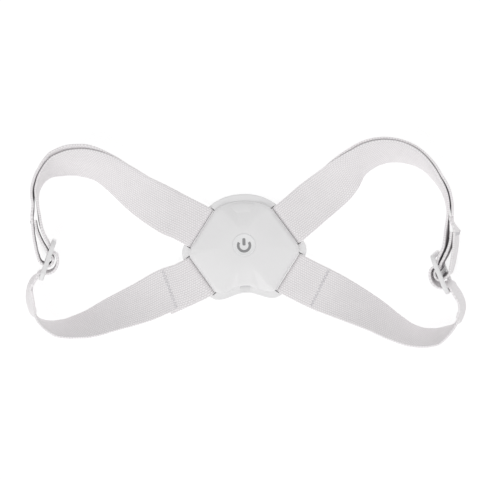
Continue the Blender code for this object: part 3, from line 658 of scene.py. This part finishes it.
def stitches(name, frame, ways, material):
    """A zigzag of thread across the webbing at a frame, on each of the given faces."""
    place, width, heading, *_ = frame
    normal = heading.cross(width)
    points, faces = [], []
    for way in ways:
        for number in range(STITCHES):
            across = (number - (STITCHES - 1) / 2) * STITCH_PITCH
            lean = STITCH_LEAN if number % 2 else -STITCH_LEAN
            run = (heading + width * lean).normalized()
            middle = place + width * across + normal * way * (STRAP_THICKNESS / 2 + STITCH_LIFT)
            side, up = normal.cross(run), normal
            rows = []
            for t in (-1, -0.85, -0.45, 0, 0.45, 0.85, 1):
                bulge = THREAD_RADIUS * math.sqrt(max(0.02, 1 - t * t * 0.98))
                centre = middle + run * t * STITCH_LENGTH / 2 - up * STITCH_SAG * t * t
                rows.append([centre + side * bulge * math.cos(a) + up * bulge * math.sin(a)
                             for a in (math.pi * 2 * k / THREAD_SIDES for k in range(THREAD_SIDES))])
            base = len(points)
            for row in rows:
                points += row
            for r in range(len(rows) - 1):
                for k in range(THREAD_SIDES):
                    j = (k + 1) % THREAD_SIDES
                    a = base + r * THREAD_SIDES
                    b = a + THREAD_SIDES
                    faces.append((a + k, a + j, b + j, b + k))
            faces.append(tuple(range(base + THREAD_SIDES - 1, base - 1, -1)))
            faces.append(tuple(range(len(points) - THREAD_SIDES, len(points))))
    return add_mesh(name, points, faces, material)


def nearest(frames, point, start, end):
    """The number of the frame nearest to a point, from start to end."""
    return min(range(start, end), key=lambda i: (frames[i][0] - point).length)


def loop_webbing(side, loop, webbing, thread):
    """One loop's webbing in five sheets, with its stitches."""
    frames, marks = smooth_frames(webbing_route(loop), FINE_STEP)
    wrap = (marks["wrap_start"] + marks["wrap_end"]) // 2
    outer = (marks["outer_free"] + marks["outer_arch"]) // 2
    inner = (marks["inner_free"] + marks["inner_arch"]) // 2
    under = (marks["under_free"] + marks["under_arch"]) // 2
    # Name, first and last frame, bend kind and way, and the CAD nodes that it stands for
    sheets = (
        ("sewn_shoulder_webbing", 0, outer, "buckle", -1, ("sewn_loop", "outer_strap_end")),
        ("shoulder_webbing", outer, inner, "fold", 0,
         ("outer_shoulder_strap", "shoulder_turn", "inner_shoulder_strap")),
        ("inner_shoulder_webbing", inner, wrap, "loop", -1, ("inner_strap_end", "slider_wrap")),
        ("slider_webbing", wrap, under, "buckle", 1, ("underarm_strap_end",)),
        ("underarm_webbing", under, len(frames) - 1, "fold", 0,
         ("underarm_strap", "underarm_turn")),
    )
    for name, first, last, kind, way, nodes in sheets:
        stretch = frames[first:last + 1]
        piece = webbing_piece(f"{side}_{name}", stretch, first, webbing)
        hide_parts(*(f"{side}_{node}" for node in nodes))
        bend(piece, kind)
    seam = frames[marks["seam"] - SEAM_SETBACK]
    tack = stitches(side + "_slider_stitches", seam, (1, -1), thread)
    bend(tack, "buckle")
    tail = frames[marks["tail_end"] - round(TAIL_SEAM / FINE_STEP)][0]
    match = nearest(frames, tail + UP * TAIL_LIFT, marks["under_free"], marks["under_root"])
    ends = stitches(side + "_underarm_stitches", frames[match], (1, -1), thread)
    bend(ends, "fold")


def bend(piece, kind):
    """Bake a piece's transform into its mesh, the same for every kind; nothing is blended.

    kind is "fold", or the body at the piece's first end. way is 1 below the slider, -1 above it,
    and 0 at the fold; it is not passed to this function and not used.
    """
    if kind == "fold":
        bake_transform(piece)
        return
    if kind == "buckle":
        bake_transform(piece)
    else:
        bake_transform(piece)


# ---------------------------------------------------------------- housing

PLATEAU_TOP, RIM_TOP = (0, 31.4), (0, 36.3)
PLATEAU_TOP_PULL, RIM_TOP_PULL = (12.0, 31.4), (14.5, 36.3)
RIM_UPPER = ((24.2, 27.9), (42.4, 1.6))
PLATEAU_SIDE_PULL, RIM_SIDE_PULL = (40.2, -4.0), (46.0, -3.9)
RIM_LOWER = ((43.1, -9.6), (25.4, -36.2))
PLATEAU_LOBE, RIM_LOBE = ((16.0, -36.5), (9.0, -29.4)), ((18.0, -42.6), (10.0, -34.2))
PLATEAU_NOTCH, RIM_NOTCH = (0, -29.4), (0, -34.2)
WALL = 1.8 * MM
BAR_BOTTOM_Z = 2.4 * MM
BAR_TOP_Z = 5.4 * MM
SHOULDER_Z = 9.9 * MM
CROWN_Z = 13.2 * MM
SLOT_EDGE = -0.45 * MM
SLOPE_RUN = 2.2
SLOPE_LIFT = 5.5 * MM
SLOPE_BLEND = 2.5 * MM
CROWN_EASE = 6
BAR_EDGE = 2.65 * MM
BAR_CHAMFER = 0.9 * MM
BUTTON_HOLE_RADIUS = 8.18 * MM
CROWN_RINGS, CEILING_RINGS = 16, 4
SOCKET_ROOM = (8.2 * MM, 8 * MM, 3.2 * MM)
SOCKET_PLACE = (0, -29.2 * MM, 6.9 * MM)
SOCKET_CORNER = 0.9 * MM


def bezier(points, t):
    """A point on the Bezier curve that the given points pull."""
    points = [Vector(point) for point in points]
    while len(points) > 1:
        points = [a.lerp(b, t) for a, b in zip(points, points[1:])]
    return points[0]


def softness():
    """How gently the plateau falls to the rim: 0 at the slots and the notch, 1 on the top."""
    half = [ease_in((18 - k) / 14) for k in range(18)] + [0.0] * 20
    half += [0.3 * ease_in(min(k, 12 - k) / 5) for k in range(12)] + [0.0] * 20
    half += [0.7 * ease_in(k / 10) * ease_in((24 - k) / 10) for k in range(27)]
    return half + half[-2:0:-1]


def outline(top, top_pull, upper, side_pull, lower, lobe, notch):
    """The closed outline of the housing at one level, from the top middle and clockwise."""
    stretches = (
        ((top, top_pull, upper[0]), 18), (upper, 20), ((upper[1], side_pull, lower[0]), 12),
        (lower, 20), ((lower[1], *lobe, notch), 26))
    half = [bezier(points, step / count) for points, count in stretches for step in range(count)]
    half.append(Vector(notch))
    mirrored = [Vector((-point.x, point.y)) for point in reversed(half[1:-1])]
    return [point * MM for point in half + mirrored]


SOFTNESS = softness()
PLATEAU = outline(PLATEAU_TOP, PLATEAU_TOP_PULL, PLATEAU_UPPER, PLATEAU_SIDE_PULL, PLATEAU_LOWER,
                  PLATEAU_LOBE, PLATEAU_NOTCH)
RIM = outline(RIM_TOP, RIM_TOP_PULL, RIM_UPPER, RIM_SIDE_PULL, RIM_LOWER, RIM_LOBE, RIM_NOTCH)


def level(points, inset, z):
    """An outline drawn in towards the middle and raised to a height."""
    return [(point - point.normalized() * inset).to_3d() + UP * z for point in points]


def settle_edge(ring):
    """Lower a ring of the plateau onto a gentle slope up from its edge, where the edge is soft."""
    for point, edge, soft in zip(ring, PLATEAU, SOFTNESS):
        inset = edge.length - point.xy.length
        slope = BAR_TOP_Z + 0.3 * MM + inset / SLOPE_RUN + (1 - soft) * SLOPE_LIFT
        near = max(0.0, 1 - abs(point.z - slope) / SLOPE_BLEND)
        point.z = min(point.z, slope) - near * near * SLOPE_BLEND / 4


def rounded(outer, inner, low, high, start, end, steps):
    """Rings round an eased edge between two outlines' insets and heights, by angle."""
    rings = []
    for step in range(steps + 1):
        a = math.radians(start + (end - start) * step / steps)
        rings.append((outer + (inner - outer) * (1 - math.cos(a)), low + (high - low) * math.sin(a)))
    return rings


def dome(edge, hole_radius, hole_z, count):
    """Rings from an edge ring over the crown to the button's hole, rounder and rounder."""
    radii = [point.xy.length for point in edge]
    rings = []
    for step in range(1, count + 1):
        t = step / count
        for _ in range(CROWN_EASE):
            radii = [(radii[i - 1] + 2 * radii[i] + radii[(i + 1) % len(radii)]) / 4
                     for i in range(len(radii))]
        ring = []
        for point, radius in zip(edge, radii):
            height = point.z + (hole_z - point.z) * math.sin(t * math.pi / 2)
            reach = radius + (hole_radius - radius) * t
            ring.append(point.xy.normalized().to_3d() * reach + UP * height)
        rings.append(ring)
    return rings


def loft(rings):
    """A closed mesh through rings of equal length, and from the last ring to the first."""
    bm = bmesh.new()
    rows = [[bm.verts.new(point) for point in ring] for ring in rings]
    for low, high in zip(rows, rows[1:] + rows[:1]):
        for i in range(len(low)):
            j = (i + 1) % len(low)
            bm.faces.new((low[i], low[j], high[j], high[i]))
    bm.normal_update()
    bmesh.ops.recalc_face_normals(bm, faces=bm.faces)
    return bm


def as_object(name, bm, material=None):
    mesh = bpy.data.meshes.new(name)
    bm.to_mesh(mesh)
    bm.free()
    if material:
        mesh.materials.append(material)
    piece = bpy.data.objects.new(name, mesh)
    bpy.context.scene.collection.objects.link(piece)
    return piece


def cut(piece, bm):
    """Cut a piece by a closed mesh, and keep the result as its mesh."""
    cutter = as_object("cutter", bm)
    modifier = piece.modifiers.new("cut", "BOOLEAN")
    modifier.operation = "DIFFERENCE"
    modifier.object = cutter
    settle(piece)
    bpy.data.objects.remove(cutter, do_unlink=True)


def settle(piece):
    """Apply a piece's modifiers."""
    bpy.context.view_layer.update()
    evaluated = piece.evaluated_get(bpy.context.evaluated_depsgraph_get())
    mesh = bpy.data.meshes.new_from_object(evaluated)
    piece.modifiers.clear()
    piece.data = mesh


def smooth(piece, degrees=35):
    piece.data.shade_smooth()
    piece.data.set_sharp_from_angle(angle=math.radians(degrees))


def housing_cover(material):
    """The domed front shell, with its rim, strap bars and charging opening."""
    shape = [(RIM, 0.5 * MM, BAR_BOTTOM_Z), (RIM, 0.1 * MM, BAR_BOTTOM_Z + 0.25 * MM),
             (RIM, 0, BAR_BOTTOM_Z + 0.7 * MM), (RIM, 0, BAR_TOP_Z - 1.1 * MM)]
    shape += [(RIM, inset, z) for inset, z in
              rounded(0, 1.2 * MM, BAR_TOP_Z - 1.1 * MM, BAR_TOP_Z, 12, 90, 6)]
    shape += [(PLATEAU, inset, z) for inset, z in (
        (-0.35 * MM, BAR_TOP_Z), (-0.1 * MM, BAR_TOP_Z + 0.08 * MM), (0, BAR_TOP_Z + 0.3 * MM))]
    wall = [(0.02 * MM, 6.2 * MM)]
    wall += rounded(0.03 * MM, 4.2 * MM, 6.7 * MM, SHOULDER_Z + 0.35 * MM, 8, 78, 12)
    shape += [(PLATEAU, inset, z) for inset, z in wall]
    outside = [level(*ring) for ring in shape]
    crown = dome(outside[-1], BUTTON_HOLE_RADIUS + 0.5 * MM, CROWN_Z, CROWN_RINGS)
    for ring in outside[-len(wall):] + crown:
        settle_edge(ring)
    lip = [[point.xy.normalized().to_3d() * radius + UP * z for point in crown[-1]]
           for radius, z in ((8.4 * MM, CROWN_Z - 0.01 * MM), (8.25 * MM, CROWN_Z - 0.04 * MM),
                             (BUTTON_HOLE_RADIUS, CROWN_Z - 0.12 * MM))]
    inner_edge = level(PLATEAU, WALL + 1.2 * MM, SHOULDER_Z - WALL)
    ceiling = dome(inner_edge, BUTTON_HOLE_RADIUS, CROWN_Z - WALL, CEILING_RINGS)
    wall = [level(PLATEAU, WALL, 7.2 * MM), level(PLATEAU, WALL, BAR_BOTTOM_Z)]
    piece = as_object("housing_front_shell",
                      loft(outside + crown + lip + ceiling[::-1] + [inner_edge] + wall), material)
    cut(piece, slot_cutters())
    cut(piece, socket_cutter())
    smooth(piece)
    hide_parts("front_cover")
    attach(piece, "housing")


def slot_cutters():
    """Prisms for the four strap slots, with eased bars."""
    section = [(SLOT_EDGE, BAR_BOTTOM_Z - 1.0 * MM), (BAR_EDGE + 1.9 * MM, BAR_BOTTOM_Z - 1.0 * MM)]
    section += [(BAR_EDGE + BAR_CHAMFER * (1 - math.sin(a)),
                 BAR_BOTTOM_Z + BAR_CHAMFER * (1 - math.cos(a)))
                for a in (math.radians(d) for d in (0, 22, 45, 68, 90))]
    section += [(BAR_EDGE + BAR_CHAMFER * (1 - math.cos(a)),
                 BAR_TOP_Z - BAR_CHAMFER * (1 - math.sin(a)))
                for a in (math.radians(d) for d in (0, 22, 45, 68, 90))]
    section += [(BAR_EDGE + 1.9 * MM, BAR_TOP_Z + 1.0 * MM), (SLOT_EDGE, BAR_TOP_Z + 1.0 * MM)]
    bm = bmesh.new()
    for sign in (-1, 1):
        for edge in (PLATEAU_UPPER, PLATEAU_LOWER):
            middle, outward, along = slot_frame(edge, sign)
            ends = [[bm.verts.new(middle + along * (STRAP_WIDTH / 2 + 1.3 * MM) * end
                                  + outward * d + UP * z) for d, z in section] for end in (-1, 1)]
            bm.faces.new(ends[0])
            bm.faces.new(ends[1])
            for i in range(len(section)):
                j = (i + 1) % len(section)
                bm.faces.new((ends[0][i], ends[0][j], ends[1][j], ends[1][i]))
    bm.normal_update()
    bmesh.ops.recalc_face_normals(bm, faces=bm.faces)
    return bm


def put_box(bm, size, place):
    """Add a box of a size, centred on a place."""
    corners = bmesh.ops.create_cube(bm, size=1.0)["verts"]
    bmesh.ops.scale(bm, verts=corners, vec=size)
    bmesh.ops.translate(bm, verts=corners, vec=place)


def round_edges_along_y(bm, radius, segments):
    """Round the edges of boxes that run along Y."""
    along = [e for e in bm.edges if abs(e.verts[0].co.y - e.verts[1].co.y) > 0.1 * MM]
    bmesh.ops.bevel(bm, geom=along, offset=radius, segments=segments, profile=0.5, affect="EDGES")


def socket_cutter():
    """The room of the charging opening in the notch."""
    bm = bmesh.new()
    put_box(bm, SOCKET_ROOM, SOCKET_PLACE)
    round_edges_along_y(bm, SOCKET_CORNER, 4)
    return bm


# ---------------------------------------------------------------- button

# Sizes in millimetres, as a turned profile has them
DISH_Z, DISH_RISE, DISH_RADIUS = 12.7, 0.56, 6.5
TURNED_SIDES = 96
SYMBOL_OUTER, SYMBOL_INNER = 5.05, 3.2
SYMBOL_GAP = 58
SYMBOL_LINE = 1.08
SYMBOL_LINE_TOP = 5.1
SYMBOL_CENTRE = (0, -0.3)
SYMBOL_TOP, SYMBOL_BOTTOM = 0.03, -0.02
RING_STEPS, LINE_STEPS = 60, 12


def turned_piece(name, profile, material, body):
    """A turned piece from its profile in millimetres, from the axis on top to the axis below."""
    points, faces = [(0, 0, profile[0][1] * MM)], []
    for radius, z in profile[1:-1]:
        points += [(radius * MM * math.cos(a), radius * MM * math.sin(a), z * MM)
                   for a in (2 * math.pi * k / TURNED_SIDES for k in range(TURNED_SIDES))]
    points.append((0, 0, profile[-1][1] * MM))
    rows = len(profile) - 2
    for k in range(TURNED_SIDES):
        j = (k + 1) % TURNED_SIDES
        faces.append((0, 1 + k, 1 + j))
        for r in range(rows - 1):
            a = 1 + r * TURNED_SIDES
            faces.append((a + k, a + TURNED_SIDES + k, a + TURNED_SIDES + j, a + j))
        last = 1 + (rows - 1) * TURNED_SIDES
        faces.append((last + k, len(points) - 1, last + j))
    piece = add_mesh(name, [Vector(p) for p in points], faces, material)
    smooth(piece, 40)
    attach(piece, body)
    return piece


def button(material, print_material):
    """The dished cap with its printed standby symbol."""
    dish = [(radius, DISH_Z + DISH_RISE * (radius / DISH_RADIUS) ** 2)
            for radius in (0, 1.5, 3.0, 4.5, 5.6, DISH_RADIUS)]
    lip = [(6.9, 13.38), (7.15, 13.47), (7.45, 13.5), (7.75, 13.45), (8.0, 13.36), (8.12, 13.24),
           (8.15, 13.1)]
    below = [(8.15, 10.9), (9.6, 10.9), (9.6, 10.2), (7.0, 10.2), (7.0, 11.4), (2.0, 11.4),
             (2.0, 9.9), (0, 9.9)]
    cap = turned_piece("push_button", dish + lip + below, material, "button")
    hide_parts("button_cap")
    symbol = standby_symbol(print_material)
    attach(symbol, "button")


def standby_symbol(material):
    """An open ring and a line, as a thin print that follows the dish."""
    start, end = math.radians(90 + SYMBOL_GAP), math.radians(450 - SYMBOL_GAP)
    turns = [start + (end - start) * k / RING_STEPS for k in range(RING_STEPS + 1)]
    outer = [(SYMBOL_OUTER * math.cos(a), SYMBOL_OUTER * math.sin(a)) for a in turns]
    inner = [(SYMBOL_INNER * math.cos(a), SYMBOL_INNER * math.sin(a)) for a in turns]

    def strip(left, right):
        points, faces = [], []
        for x, y in left + right:
            x, y = x + SYMBOL_CENTRE[0], y + SYMBOL_CENTRE[1]
            z = DISH_Z + DISH_RISE * (x * x + y * y) / DISH_RADIUS ** 2
            points += [(x, y, z + SYMBOL_TOP), (x, y, z + SYMBOL_BOTTOM)]
        n = len(left)
        for k in range(n - 1):
            a, b, c, d = 2 * k, 2 * (k + 1), 2 * (n + k + 1), 2 * (n + k)
            faces += [(a, b, c, d), (a + 1, d + 1, c + 1, b + 1), (a, a + 1, b + 1, b),
                      (d, c, c + 1, d + 1)]
        for k in (0, n - 1):
            a, d = 2 * k, 2 * (n + k)
            face = (a, d, d + 1, a + 1)
            faces.append(face if k == 0 else tuple(reversed(face)))
        return points, faces

    line = [SYMBOL_LINE_TOP * k / LINE_STEPS for k in range(LINE_STEPS + 1)]
    ease = [min(1.0, 0.55 + 0.45 * min(k, LINE_STEPS - k)) for k in range(LINE_STEPS + 1)]
    shapes = (strip(outer, inner), strip([(-SYMBOL_LINE * e, y) for y, e in zip(line, ease)],
                                         [(SYMBOL_LINE * e, y) for y, e in zip(line, ease)]))
    points, faces = [], []
    for more_points, more_faces in shapes:
        faces += [tuple(i + len(points) for i in face) for face in more_faces]
        points += [Vector(p) * MM for p in more_points]
    piece = add_mesh("standby_symbol", points, faces, material)
    bm = bmesh.new()
    bm.from_mesh(piece.data)
    bmesh.ops.recalc_face_normals(bm, faces=bm.faces)
    bm.to_mesh(piece.data)
    bm.free()
    return piece


# ---------------------------------------------------------------- sliders

SLIDER_LENGTH = 29.5 * MM
SLIDER_WIDTH = 36.5 * MM
SLIDER_THICKNESS = 3.2 * MM
SLIDER_END_BAR = 3.25 * MM
SLIDER_MIDDLE_BAR = 4.0 * MM
SLIDER_OPENING = 31 * MM
SLIDER_CORNER, OPENING_CORNER = 6.0 * MM, 3.0 * MM
SLIDER_EDGE = 1.0 * MM


def slider(side, loop, material):
    """The tri-glide: a flat frame with rounded corners, and a middle bar across its opening."""
    down, inward, across = slider_axes(loop)
    bm = bmesh.new()
    put_box(bm, (SLIDER_LENGTH, SLIDER_THICKNESS, SLIDER_WIDTH), (0, 0, 0))
    round_edges_along_y(bm, SLIDER_CORNER, 16)
    piece = as_object(side + "_tri_glide", bm, material)
    opening = (SLIDER_LENGTH - SLIDER_MIDDLE_BAR) / 2 - SLIDER_END_BAR
    holes = bmesh.new()
    for way in (-1, 1):
        put_box(holes, (opening, 3 * SLIDER_THICKNESS, SLIDER_OPENING),
                (way * (SLIDER_MIDDLE_BAR + opening) / 2, 0, 0))
    round_edges_along_y(holes, OPENING_CORNER, 8)
    cut(piece, holes)
    edges = piece.modifiers.new("rounded", "BEVEL")
    edges.width = SLIDER_EDGE
    edges.segments = 4
    edges.limit_method = "ANGLE"
    edges.angle_limit = math.radians(60)
    settle(piece)
    turn = Matrix((down, inward, across)).transposed().to_4x4()
    piece.data.transform(Matrix.Translation(slider_centre(loop)) @ turn)
    if turn.determinant() < 0:
        piece.data.flip_normals()
    smooth(piece, 40)
    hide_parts(side + "_slider")
    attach(piece, side + "_buckle")


# ---------------------------------------------------------------- everything

def paint_nodes():
    """Materials for the CAD parts that stay as they are, by material slot."""
    looks = {
        "housing_plastic": plastic("housing_white", (0.80, 0.80, 0.81)),
        "circuit_board": plastic("green_solder_mask", (0.025, 0.20, 0.09), 0.35, 0.006 * MM),
        "black_component": plastic("black_epoxy", (0.025, 0.025, 0.027), 0.5),
        "steel": metal("plated_steel", (0.62, 0.62, 0.64), 0.28),
        "battery_foil": metal("pouch_foil", (0.70, 0.70, 0.72), 0.4),
        "foam": plastic("grey_foam", (0.2, 0.2, 0.21), 0.9, 0.12 * MM),
        "red_lead": plastic("red_insulation", (0.55, 0.03, 0.03), 0.5),
        "black_lead": plastic("black_insulation", (0.025, 0.025, 0.025), 0.5),
        "light_window": plastic("clear_led", (0.75, 0.90, 0.78), 0.15),
    }
    for entry in frame["record"]["subparts"]:
        node = frame["nodes"].get(entry["node"])
        look = looks.get(entry.get("material_slot"))
        if node is None or look is None or node.hide_render:
            continue
        node.data.materials.clear()
        node.data.materials.append(look)


add_camera()
add_studio()
WEBBING = webbing_material()
THREAD = thread_material()
HOUSING = plastic("housing_satin_white", (0.88, 0.875, 0.88), 0.5)
BUTTON = plastic("button_satin_white", (0.88, 0.88, 0.885), 0.42)
SLIDER = plastic("slider_white", (0.86, 0.855, 0.86), 0.28)
PRINT = plastic("grey_print", (0.30, 0.30, 0.305), 0.55, 0.004 * MM)
housing_cover(HOUSING)
button(BUTTON, PRINT)
for side, loop in LOOPS.items():
    loop_webbing(side, loop, WEBBING, THREAD)
    slider(side, loop, SLIDER)
paint_nodes()
